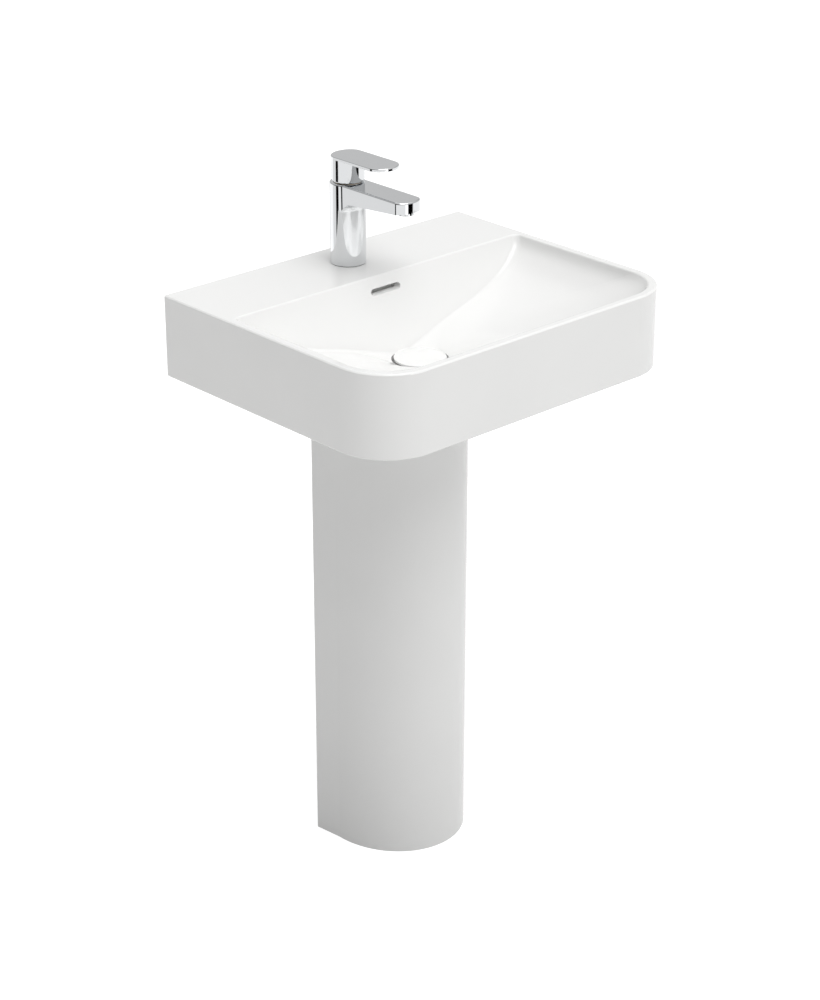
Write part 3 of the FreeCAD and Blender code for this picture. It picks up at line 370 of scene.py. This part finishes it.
# Cartridge: an acetal housing with its carrier, dropped on a rubber seal inside the column.
acetal, tree, out = new_material("moulded_acetal_grey")
place = add_node(tree, "ShaderNodeTexCoord")
grain = add_node(tree, "ShaderNodeTexNoise", {"Scale": 1400.0, "Detail": 2.0},
                 Vector=(place, "Object"))
shade = add_node(tree, "ShaderNodeTexNoise", {"Scale": 20.0, "Detail": 2.0},
                 Vector=(place, "Object"))
tint = mottle(tree, shade, "Fac", "#8E9092", "#999B9D")
spark = add_node(tree, "ShaderNodeBump", {"Strength": 0.2, "Distance": 0.00008},
                 Height=(grain, "Fac"))
face = add_node(tree, "ShaderNodeBsdfPrincipled", {"Roughness": 0.42, "IOR": 1.48},
                Base_Color=(tint, "Result"), Normal=(spark, "Normal"))
tree.links.new(face.outputs["BSDF"], out.inputs["Surface"])
finish_with(acetal, "cartridge_housing", "spindle_carrier")
finish_with(rubber, "cartridge_base_seal")

# Valve discs: alumina, pressed, sintered and lapped flat until the two faces cling together.
alumina, tree, out = new_material("lapped_alumina")
place = add_node(tree, "ShaderNodeTexCoord")
grain = add_node(tree, "ShaderNodeTexNoise", {"Scale": 600.0, "Detail": 2.0},
                 Vector=(place, "Object"))
tint = mottle(tree, grain, "Fac", "#E8E2D6", "#F0EBE1")
face = add_node(tree, "ShaderNodeBsdfPrincipled", {"Roughness": 0.22, "IOR": 1.76},
                Base_Color=(tint, "Result"))
tree.links.new(face.outputs["BSDF"], out.inputs["Surface"])
finish_with(alumina, "fixed_disc", "moving_disc")

# Spindle and its nut: turned brass. The spindle rocks on a stainless pin in the carrier, and
# the nut holds the whole cartridge down on its seal.
finish_with(brass, "spindle", "cartridge_nut")
stainless, tree, out = new_material("drawn_stainless_steel")
place = add_node(tree, "ShaderNodeTexCoord")
streak = add_node(tree, "ShaderNodeMapping", {"Scale": (60.0, 900.0, 900.0)},
                  Vector=(place, "Object"))
drawn = add_node(tree, "ShaderNodeTexNoise", {"Scale": 1.0, "Detail": 2.0},
                 Vector=(streak, "Vector"))
dull = add_node(tree, "ShaderNodeMapRange", {"To Min": 0.16, "To Max": 0.30}, Value=(drawn, "Fac"))
face = add_node(tree, "ShaderNodeBsdfPrincipled",
                {"Base Color": linear("#BDBEBF"), "Metallic": 1.0}, Roughness=(dull, "Result"))
tree.links.new(face.outputs["BSDF"], out.inputs["Surface"])
finish_with(stainless, "spindle_pin")

# Lever and trim ring: chrome-plated brass. A socket screw pinches the lever on the spindle,
# and a small plated plug hides it at the back.
finish_with(chrome, "trim_ring", "lever", "lever_plug")
finish_with(stainless, "lever_grub_screw")

# Aerator: a plated ring screwed up into the spout, with an acetal insert and a rubber washer.
finish_with(chrome, "aerator_ring")
finish_with(acetal, "aerator_insert")
finish_with(rubber, "aerator_washer")


# Waste: a plated brass flange and threaded tail through the basin's boss, sealed above and
# below, and pulled down by a brass back nut on an acetal washer.
finish_with(chrome, "waste_body")
finish_with(rubber, "waste_top_seal", "waste_cone_seal")
finish_with(acetal, "waste_washer", "click_cage")
finish_with(brass, "waste_backnut", "plunger")

# Click spring: five turns of stainless wire on the plunger, between its cage and its collar.
# It shortens as the cap goes down. A stainless copy of it stands in for the CAD piece, on the sink
# body.
spring = nodes["click_spring"].copy()
spring.data = nodes["click_spring"].data.copy()
spring.name = "waste_spring"
bpy.context.scene.collection.objects.link(spring)
if "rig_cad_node" in spring:
    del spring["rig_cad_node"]
spring.data.materials.clear()
spring.data.materials.append(stainless)
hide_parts("click_spring")
low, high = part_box("click_spring")
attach(spring, "sink")
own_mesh(spring)
finish_with(stainless, "click_spring")

# Waste cap: a shallow white china dome on the plunger, with a rubber ring under its edge.
finish_with(rubber, "cap_seal")
finish_with(china, "waste_cap")


# Bottle trap: injection-moulded white polypropylene, its body, cup and hand nuts alike, with
# the faint bloom and flow marks of the moulding. Rubber seals sit in each joint.
plastic, tree, out = new_material("moulded_polypropylene_white")
place = add_node(tree, "ShaderNodeTexCoord")
flow = add_node(tree, "ShaderNodeTexNoise", {"Scale": 14.0, "Detail": 3.0, "Distortion": 1.2},
                Vector=(place, "Object"))
grain = add_node(tree, "ShaderNodeTexNoise", {"Scale": 1100.0, "Detail": 1.0},
                 Vector=(place, "Object"))
tint = mottle(tree, flow, "Fac", "#DEDED9", "#E6E6E3")
bloom = add_node(tree, "ShaderNodeMapRange", {"To Min": 0.26, "To Max": 0.38}, Value=(flow, "Fac"))
skin = add_node(tree, "ShaderNodeBump", {"Strength": 0.1, "Distance": 0.0001},
                Height=(grain, "Fac"))
face = add_node(tree, "ShaderNodeBsdfPrincipled", {"IOR": 1.49, "Subsurface Weight": 0.05,
                                                   "Subsurface Scale": 0.003},
                Base_Color=(tint, "Result"), Roughness=(bloom, "Result"), Normal=(skin, "Normal"))
tree.links.new(face.outputs["BSDF"], out.inputs["Surface"])
finish_with(plastic, "trap_inlet_nut", "trap_body", "trap_cup", "trap_outlet_nut", "outlet_pipe")
finish_with(rubber, "trap_inlet_seal", "trap_cup_seal", "trap_outlet_seal")
